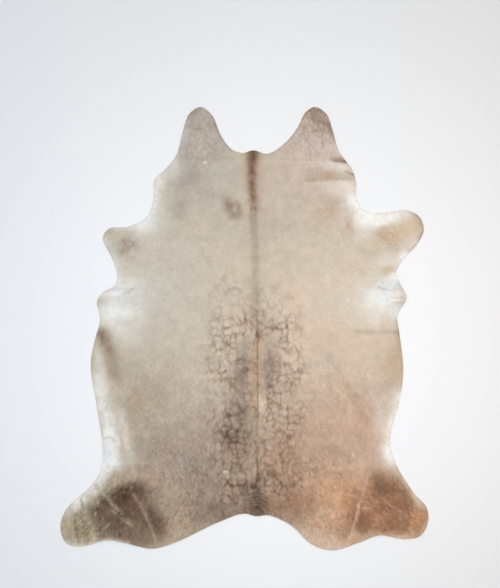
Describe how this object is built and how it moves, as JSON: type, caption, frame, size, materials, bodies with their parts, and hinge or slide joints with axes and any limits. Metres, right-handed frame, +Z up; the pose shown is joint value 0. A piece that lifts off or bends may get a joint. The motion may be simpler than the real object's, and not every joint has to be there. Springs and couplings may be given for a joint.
{
  "type": "hair-on cowhide rug",
  "caption": "Whole hair-on cowhide lying flat with its hair side up, with the natural outline of neck, legs, belly and rump and a few storage creases.",
  "frame": {"origin": "on the floor under the middle of the hide's outline", "axes": "+Z up out of the hair side, +Y along the spine towards the neck, +X towards the right of the hide seen from above"},
  "size_m": [1.7952, 2.162, 0.019],
  "materials": {
    "hair_on_hide": "short flat-lying hair in greyed beige, darker brown on the hind legs and spine, over pale chrome-tanned leather"
  },
  "bodies": {
    "root": {"hide": "hair_on_hide"}
  },
  "joints": []
}
